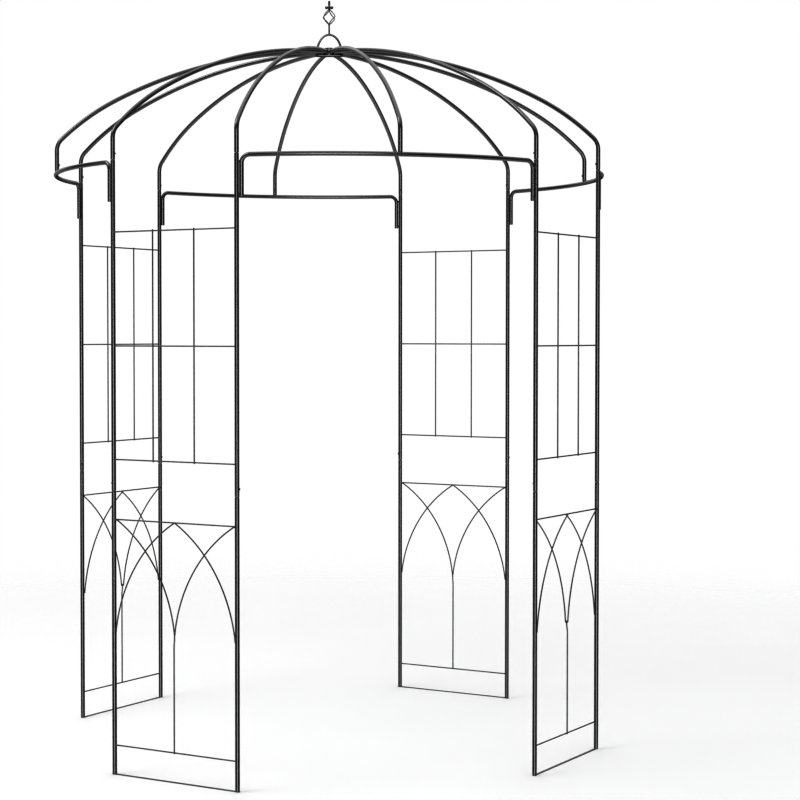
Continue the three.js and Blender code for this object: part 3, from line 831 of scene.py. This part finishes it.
# ---------------------------------------------------------------- roof ribs
def rib():
    """Open-ended tube: straight foot, tight bend, haunch and crown, ending on its spigot."""
    s = Shape()
    x, z, t = POST_CIRCLE_R, RIB_BEND_Z, 0.0
    lead = [RIB_JOINT_Z, RIB_JOINT_Z + 0.15, RIB_JOINT_Z + 0.5, RIB_JOINT_Z + 4, RIB_JOINT_Z + 48]
    pts = [(x, 0, h) for h in lead] + [(x, 0, z)]
    tan = [(0, 0, 1)] * len(pts)
    flat = [1.0] * len(pts)
    wear = [0.9, 0.9, 0.8, 0.1, 0.0, 0.05]
    radii = [TUBE_R - 0.35, TUBE_R - 0.12] + [TUBE_R] * 4
    for k, ((radius, turn), steps) in enumerate(zip(RIB_ARCS, (18, 16, 46))):
        cx, cz = x - radius * math.cos(t), z - radius * math.sin(t)
        end = math.acos((RIB_END_R - cx) / radius) if turn is None else t + turn * DEG
        for i in range(1, steps + 1):
            a = t + (end - t) * i / steps
            pts.append((cx + radius * math.cos(a), 0, cz + radius * math.sin(a)))
            tan.append((-math.sin(a), 0, math.cos(a)))
            # The tight bend flattens the tube a little.
            flat.append(1 - 0.055 * math.sin(math.pi * i / steps) if k == 0 else 1.0)
            wear.append(0.15 if k == 0 else 0.0)
            radii.append(TUBE_R)
        x, z, t = pts[-1][0], pts[-1][2], end
    d = unit(tan[-1])
    e = np.array(pts[-1])
    for back, drop, w in ((0.35, 0.12, 0.7), (0.0, 0.35, 0.7)):
        pts.append(tuple(e + d * (0.35 - back)))
        tan.append(tuple(d))
        flat.append(1.0)
        wear.append(w)
        radii.append(TUBE_R - drop)
    sweep(s, pts, radii, SIDES, tans=np.array(tan, float), up=(1, 0, 0), wear=wear, flat=flat, caps=(False, False))
    for c, axis, r0 in ((np.array(pts[0]), np.array((0, 0, 1.0)), radii[0]), (np.array(pts[-1]), -d, radii[-1])):
        bore = Shape()
        sweep(bore, [c, c, c + axis * 0.3, c + axis * 46], [r0, TUBE_BORE + 0.2, TUBE_BORE, TUBE_BORE], SIDES, tans=np.array([axis] * 4), up=(1, 0, 0), caps=(False, True), wear=[0.8, 0.8, 0.2, 0])
        bore.f = [f[::-1] for f in bore.f]
        s.join(bore)
    return s


RIB = rib()
rib_list = []
for name, az in DOORWAYS.items():
    rib_list.append((f"rib_{name}", f"roof_rib_{name}", az, az))
for p, az in PANELS.items():
    for n in (1, 2):
        axis = post_axis[p, n]
        rib_list.append((f"rib_{p}_{n}", f"roof_rib_{p}_{n}", math.atan2(axis[1], axis[0]) / DEG, az))
for piece, node, az, _ in rib_list:
    object_of(piece, RIB.moved((0, 0, 0), az), FRAME_PAINT, (node,), sharp=45)
    o = np.array((math.cos(az * DEG), math.sin(az * DEG), 0))
    screw_at(
        f"screw_{piece}",
        o * (POST_CIRCLE_R - TUBE_R - 0.02) + np.array((0, 0, RIB_SCREW_Z)),
        -o,
        turn=float(RNG.uniform(0, math.pi / 2)),
    )


# ---------------------------------------------------------------- hub
def hub_core():
    s = Shape()
    lo = PLATE_Z[1] + 0.1
    prof = [(0, lo), (HUB_R - 0.4, lo), (HUB_R, lo + 0.4), (HUB_R, HUB_TOP_Z - 3.2)]
    for a in np.linspace(0, 90, 6):
        prof.append((HUB_R - 3 + 3 * math.cos(a * DEG), HUB_TOP_Z - 3 + 3 * math.sin(a * DEG)))
    prof += [(HUB_R * 0.5, HUB_TOP_Z), (0, HUB_TOP_Z)]
    lathe(s, prof, 48, wear=[0, 0.3, 0.3, 0.1] + [0.5] * 6 + [0.1, 0.1])
    for _, _, az, _ in rib_list:
        c, d = math.cos(az * DEG), math.sin(az * DEG)
        radial = np.array((c, d, -1 / 52))
        a = np.array((12 * c, 12 * d, HUB_Z))
        b = np.array((SPIGOT_END_R * c, SPIGOT_END_R * d, HUB_Z - 1))
        sweep(s, [a, b - unit(radial) * 1.0, b], [SPIGOT_R, SPIGOT_R, SPIGOT_R - 0.8], 20, tans=np.array([radial] * 3))
        weld_collar(s, (c * (HUB_R - 0.4), d * (HUB_R - 0.4), HUB_Z - 0.1), (c, d, 0), SPIGOT_R, SPIGOT_R + 1.8, 3.2, sides=20)
    return s


def hub_plate():
    """Round-ended strap under the drum, its long side along the finial's hoop."""
    s = Shape()
    z0, z1, e = PLATE_Z[0], PLATE_Z[1] - 0.02, 0.7
    r, end = PLATE_HALF_WIDTH, PLATE_HALF_LENGTH - PLATE_HALF_WIDTH

    def outline(inset):
        pts = []
        for side in (1, -1):
            for a in np.linspace(-90, 90, 25) * DEG:
                pts.append((side * (end + (r - inset) * math.cos(a)), side * (r - inset) * math.sin(a)))
        return pts

    rings = [(e, z0)]
    for a in np.linspace(-90, 90, 8):
        rings.append((e - e * math.cos(a * DEG), (z0 + z1) / 2 + ((z1 - z0) / 2 - e) * np.sign(a) + e * math.sin(a * DEG)))
    rings = rings[1:]
    n = len(outline(0))
    verts, wear = [], []
    for inset, z in rings:
        for x, y in outline(inset):
            verts.append((x, y, z))
            wear.append(0.55)
    faces = []
    for i in range(len(rings) - 1):
        for j in range(n):
            m = (j + 1) % n
            faces.append((i * n + j, i * n + m, (i + 1) * n + m, (i + 1) * n + j))
    faces.append(tuple(range(n))[::-1])
    faces.append(tuple((len(rings) - 1) * n + j for j in range(n)))
    s.add(verts, faces, wear)
    # two arcs of weld round the foot of the drum
    for side in (0, 180):
        a = (side + np.linspace(-50, 50, 25)) * DEG
        pts = np.stack([(HUB_R + 0.1) * np.cos(a), (HUB_R + 0.1) * np.sin(a), np.full(25, z1 + 0.5)], 1)
        k = np.linspace(-1, 1, 25)
        rad = 1.75 * np.sqrt(np.clip(1 - k**4, 0.12, 1)) * (1 + 0.07 * np.sin(k * 40))
        sweep(s, pts, list(rad), 12, wear=0.35)
    return s


object_of("hub_drum", hub_core(), FRAME_PAINT, ("hub_core",))
object_of("hub_strap", hub_plate().moved((0, 0, 0), HOOP_AZIMUTH), FRAME_PAINT, ("hub_plate",))

# ---------------------------------------------------------------- finial


def hoop():
    s = Shape()
    n = 64
    a = math.pi - math.pi * np.arange(n + 1) / n
    b = HOOP_TOP_Z - HOOP_BASE_Z
    pts = np.stack([HOOP_HALF_WIDTH * np.cos(a), np.zeros(n + 1), HOOP_BASE_Z + b * np.sin(a)], 1)
    tan = np.stack([HOOP_HALF_WIDTH * np.sin(a), np.zeros(n + 1), -b * np.cos(a)], 1)
    foot = PLATE_Z[1] + 0.05
    pts = np.concatenate([[(-HOOP_HALF_WIDTH, 0, foot)], pts, [(HOOP_HALF_WIDTH, 0, foot)]])
    tan = np.concatenate([[(0, 0, 1)], tan, [(0, 0, -1)]])
    sweep(s, pts, HOOP_WIRE_R, 24, tans=tan, up=(1, 0, 0))
    return s


def basket():
    s = Shape()
    z0, z1 = BASKET_Z
    low = HOOP_TOP_Z + HOOP_WIRE_R - 0.4
    lathe(s, [(0, low), (STEM_R + 1.6, low), (STEM_R + 1.3, low + 1.0), (STEM_R + 0.4, low + 2.6), (STEM_R, low + 3.6), (STEM_R, z0 - 3), (STEM_R + 0.9, z0 - 1.6), (STEM_R + 1.2, z0), (STEM_R + 0.9, z0 + 1.6), (STEM_R, z0 + 3), (0, z0 + 4)], 28, wear=0.15)
    lathe(s, [(0, z1 - 4), (STEM_R, z1 - 3), (STEM_R + 1.0, z1 - 1.5), (STEM_R + 1.2, z1 - 0.6), (STEM_R + 1.2, z1 + 0.2), (0, z1 + 0.2)], 28, wear=0.15)
    for k in range(4):
        t = np.concatenate([np.linspace(0, 0.38, 16), np.linspace(0.39, 0.55, 17), np.linspace(0.56, 1, 18)])
        a = (k * 90 + BASKET_TURN + BASKET_TWIST * (t - 0.5)) * DEG
        # straight from each end, rounded over the bend at the widest place
        d = np.abs(2 * t**BASKET_LOW_END - 1)
        bulge = 1 - np.sqrt(d**2 + 0.055**2)
        r = 1.5 + (BASKET_R - BASKET_WIRE_R - 1.5) * np.clip(bulge + 0.003, 0, 1)
        pts = np.stack([r * np.cos(a), r * np.sin(a), z0 + (z1 - z0 - 1) * t], 1)
        sweep(s, pts, BASKET_WIRE_R, 16)
    return s


def tip():
    s = Shape()
    low = BASKET_Z[1] + 0.05
    prof = [(0, low), (3.4, low), (3.8, low + 0.4), (6.0, BALL_Z - 3.2), (6.4, BALL_Z - 2.4), (6.4, BALL_Z + 2.4), (6.0, BALL_Z + 3.4), (TIP_R + 0.3, BALL_Z + 4.4), (TIP_R, BALL_Z + 5.4), (TIP_R, TIP_Z - 2.6)]
    for a in np.linspace(10, 80, 5):
        prof.append(((TIP_R - 2) + 2 * math.cos(a * DEG), TIP_Z - 2 + 2 * math.sin(a * DEG)))
    prof.append((0, TIP_Z))
    lathe(s, prof, 28, wear=0.12)
    for k in range(4):
        a = (k * 90 + HOOP_AZIMUTH) * DEG
        c = (BALL_RING_R * math.cos(a), BALL_RING_R * math.sin(a), BALL_Z)
        ph = np.linspace(-90, 90, 13) * DEG
        lathe(s, [(BALL_R * math.cos(q) if abs(q) < 1.56 else 0.0, BALL_R * math.sin(q)) for q in ph], 24, c, wear=0.1)
    return s


def hex_nut():
    """Chamfered hexagon nut on a washer, both round the foot of the hoop; z = 0 is their seat."""
    s = Shape()
    sides, h, w = 48, NUT_HEIGHT, 1.1
    a = np.arange(sides) * 2 * math.pi / sides
    hexr = NUT_R * math.cos(30 * DEG) / np.cos((a % (60 * DEG)) - 30 * DEG)
    bore = np.full(sides, HOOP_WIRE_R + 0.12)
    cap = np.minimum(hexr, NUT_R * 0.9)

    def loop(rings, wears):
        verts, wear = [], []
        for (rad, z), v in zip(rings, wears):
            for j in range(sides):
                verts.append((rad[j] * math.cos(a[j]), rad[j] * math.sin(a[j]), z))
                wear.append(v)
        k = len(rings)
        faces = []
        for i in range(k):
            for j in range(sides):
                m, q = (j + 1) % sides, (i + 1) % k
                faces.append((i * sides + j, i * sides + m, q * sides + m, q * sides + j))
        s.add(verts, faces, wear)

    loop(
        [(cap, w + 0.02), (hexr, w + 0.6), (hexr, h - 0.6), (cap, h), (bore + 0.5, h), (bore, h - 0.5), (bore, w + 0.5), (bore + 0.5, w + 0.02)],
        [0.2, 0.5, 0.5, 0.7, 0.3, 0.1, 0.1, 0.1],
    )
    ring = np.full(sides, 1.0)
    loop(
        [(ring * 8.0, 0.0), (ring * 8.3, 0.25), (ring * 8.3, w - 0.25), (ring * 8.0, w), (bore + 0.25, w), (bore + 0.25, 0.0)],
        [0.2, 0.5, 0.5, 0.4, 0.1, 0.1],
    )
    return s


object_of("finial_ring", hoop().moved((0, 0, 0), HOOP_AZIMUTH), FRAME_PAINT, ("finial_hoop",))
object_of("finial_cage", basket().moved((0, 0, 0), HOOP_AZIMUTH), FRAME_PAINT, ("finial_basket",))
object_of("finial_spike", tip(), FRAME_PAINT, ("finial_tip",))
NUT = hex_nut()
for n, side in ((1, 1), (2, -1)):
    r = side * HOOP_HALF_WIDTH
    o = (r * math.cos(HOOP_AZIMUTH * DEG), r * math.sin(HOOP_AZIMUTH * DEG), PLATE_Z[1])
    object_of(f"nut_{n}", NUT.moved(o, HOOP_AZIMUTH + 30.0), FASTENER, (f"finial_nut_{n}",), sharp=30)


# ---------------------------------------------------------------- floor, light, camera
def floor():
    mesh = bpy.data.meshes.new("floor")
    rings, sides = 24, 96
    verts = [(0, 0, 0)]
    for i in range(1, rings + 1):
        r = 14.0 * (i / rings) ** 1.4
        for j in range(sides):
            a = j * 2 * math.pi / sides
            verts.append((r * math.cos(a), r * math.sin(a), 0))
    faces = [(0, 1 + j, 1 + (j + 1) % sides) for j in range(sides)]
    for i in range(rings - 1):
        for j in range(sides):
            k = (j + 1) % sides
            b, c = 1 + i * sides, 1 + (i + 1) * sides
            faces.append((b + j, c + j, c + k, b + k))
    mesh.from_pydata(verts, [], faces)
    obj = bpy.data.objects.new("floor", mesh)
    bpy.context.scene.collection.objects.link(obj)
    m, nt = node_tree("floor_white")
    N, L = nt.nodes, nt.links
    out = N.new("ShaderNodeOutputMaterial")
    diff = N.new("ShaderNodeBsdfPrincipled")
    diff.inputs["Roughness"].default_value = 0.85
    diff.inputs["Specular IOR Level"].default_value = 0.1
    coord = N.new("ShaderNodeTexCoord")
    tone = N.new("ShaderNodeTexNoise")
    tone.inputs["Scale"].default_value = 0.8
    L.new(coord.outputs["Object"], tone.inputs["Vector"])
    col = N.new("ShaderNodeValToRGB")
    col.color_ramp.elements[0].color = (0.895, 0.895, 0.895, 1)
    col.color_ramp.elements[1].color = (0.93, 0.93, 0.93, 1)
    L.new(tone.outputs["Fac"], col.inputs["Fac"])
    L.new(col.outputs["Color"], diff.inputs["Base Color"])
    clear = N.new("ShaderNodeBsdfTransparent")
    mix = N.new("ShaderNodeMixShader")
    length = N.new("ShaderNodeVectorMath")
    length.operation = "LENGTH"
    L.new(coord.outputs["Object"], length.inputs[0])
    fade = N.new("ShaderNodeMapRange")
    fade.interpolation_type = "SMOOTHSTEP"
    fade.inputs["From Min"].default_value = 2.2
    fade.inputs["From Max"].default_value = 6.5
    L.new(length.outputs["Value"], fade.inputs["Value"])
    L.new(fade.outputs["Result"], mix.inputs["Fac"])
    L.new(diff.outputs["BSDF"], mix.inputs[1])
    L.new(clear.outputs["BSDF"], mix.inputs[2])
    L.new(mix.outputs["Shader"], out.inputs["Surface"])
    mesh.materials.append(m)
    # the paint mirrors the pale room below, not the floor disc
    obj.visible_glossy = False
    return obj


floor()

CAMERA_AZ = -90 - 13.15
BACKDROP = 1.0
ROOM = 0.05
CEILING = 1.85
BELOW = 1.3
# Tall soft panels round the room: azimuth, half-width where full, half-width where gone,
# strength, and the heights (sine of elevation) between which they reach.
LIGHT_WALLS = (
    (CAMERA_AZ + 2, 6.0, 24.0, 6.2, -0.30, 0.10),
    (CAMERA_AZ - 150, 9.0, 24.0, 0.45, -0.6, 0.5),
    (CAMERA_AZ + 152, 8.0, 22.0, 0.35, -0.6, 0.5),
    (CAMERA_AZ - 95, 8.0, 26.0, 0.8, -0.6, 0.5),
    (CAMERA_AZ + 92, 6.0, 22.0, 0.5, -0.6, 0.5),
    (CAMERA_AZ + 180, 20.0, 45.0, 0.8, 0.22, 0.5),
)


def world():
    """White backdrop for the camera; what lights and reflects is a dim studio with soft panels."""
    w = bpy.data.worlds.new("studio")
    bpy.context.scene.world = w
    w.use_nodes = True
    nt = w.node_tree
    for n in list(nt.nodes):
        nt.nodes.remove(n)
    N, L = nt.nodes, nt.links
    out = N.new("ShaderNodeOutputWorld")
    white = N.new("ShaderNodeBackground")
    white.inputs["Color"].default_value = (1, 1, 1, 1)
    white.inputs["Strength"].default_value = BACKDROP
    room = N.new("ShaderNodeBackground")
    coord = N.new("ShaderNodeTexCoord")
    sep = N.new("ShaderNodeSeparateXYZ")
    L.new(coord.outputs["Generated"], sep.inputs[0])
    flat = N.new("ShaderNodeCombineXYZ")
    L.new(sep.outputs["X"], flat.inputs["X"])
    L.new(sep.outputs["Y"], flat.inputs["Y"])
    level = N.new("ShaderNodeVectorMath")
    level.operation = "NORMALIZE"
    L.new(flat.outputs[0], level.inputs[0])

    def smooth(src, a, b, lo, hi):
        r = N.new("ShaderNodeMapRange")
        r.interpolation_type = "SMOOTHSTEP"
        r.inputs["From Min"].default_value = a
        r.inputs["From Max"].default_value = b
        r.inputs["To Min"].default_value = lo
        r.inputs["To Max"].default_value = hi
        L.new(src, r.inputs["Value"])
        return r.outputs["Result"]

    def calc(op, a, b):
        m = N.new("ShaderNodeMath")
        m.operation = op
        for k, v in enumerate((a, b)):
            if isinstance(v, (int, float)):
                m.inputs[k].default_value = v
            else:
                L.new(v, m.inputs[k])
        return m.outputs[0]

    total = smooth(sep.outputs["Z"], 0.35, 0.95, ROOM, CEILING)
    total = calc("ADD", total, smooth(sep.outputs["Z"], -0.85, -0.2, BELOW, 0.0))
    for az, inner, outer, power, z0, z1 in LIGHT_WALLS:
        dot = N.new("ShaderNodeVectorMath")
        dot.operation = "DOT_PRODUCT"
        L.new(level.outputs["Vector"], dot.inputs[0])
        dot.inputs[1].default_value = (math.cos(az * DEG), math.sin(az * DEG), 0)
        lobe = smooth(dot.outputs["Value"], math.cos(outer * DEG), math.cos(inner * DEG), 0.0, power)
        top = smooth(sep.outputs["Z"], z1, z1 + 0.2, 1.0, 0.0)
        low = smooth(sep.outputs["Z"], z0 - 0.2, z0, 0.0, 1.0)
        total = calc("ADD", total, calc("MULTIPLY", lobe, calc("MULTIPLY", top, low)))
    L.new(total, room.inputs["Strength"])
    path = N.new("ShaderNodeLightPath")
    mix = N.new("ShaderNodeMixShader")
    L.new(path.outputs["Is Camera Ray"], mix.inputs["Fac"])
    L.new(room.outputs["Background"], mix.inputs[1])
    L.new(white.outputs["Background"], mix.inputs[2])
    L.new(mix.outputs["Shader"], out.inputs["Surface"])


world()


def area(name, azimuth, elevation, distance, size, power, target=(0, 0, 1.3)):
    light = bpy.data.lights.new(name, "AREA")
    light.shape = "RECTANGLE"
    light.size, light.size_y = size
    light.energy = power
    obj = bpy.data.objects.new(name, light)
    bpy.context.scene.collection.objects.link(obj)
    a, e = azimuth * DEG, elevation * DEG
    t = np.array(target)
    pos = t + distance * np.array((math.cos(a) * math.cos(e), math.sin(a) * math.cos(e), math.sin(e)))
    obj.location = pos
    z = unit(pos - t)
    x = unit(np.cross((0, 0, 1), z))
    y = np.cross(z, x)
    obj.rotation_euler = Matrix(((x[0], y[0], z[0]), (x[1], y[1], z[1]), (x[2], y[2], z[2]))).to_euler()
    return obj


# A large soft key from the upper left gives the faint shadows at the feet.
area("key_softbox", CAMERA_AZ - 62, 48, 8.0, (3.2, 3.2), 170)

cam = bpy.data.cameras.new("camera")
cam.sensor_width = 36.0
cam.lens = 88.62
cam.shift_x = 0.0657
cam.shift_y = -0.0091
cam.clip_end = 100
camera = bpy.data.objects.new("camera", cam)
camera.location = (-1.78111, -7.62228, 1.58698)
camera.rotation_euler = (88.33 * DEG, 0.0, -13.681 * DEG)
bpy.context.scene.collection.objects.link(camera)
bpy.context.scene.camera = camera

bpy.context.scene.view_settings.view_transform = "Standard"
bpy.context.scene.view_settings.look = "None"
bpy.context.scene.view_settings.exposure = 0.0
bpy.context.scene.view_settings.gamma = 0.52
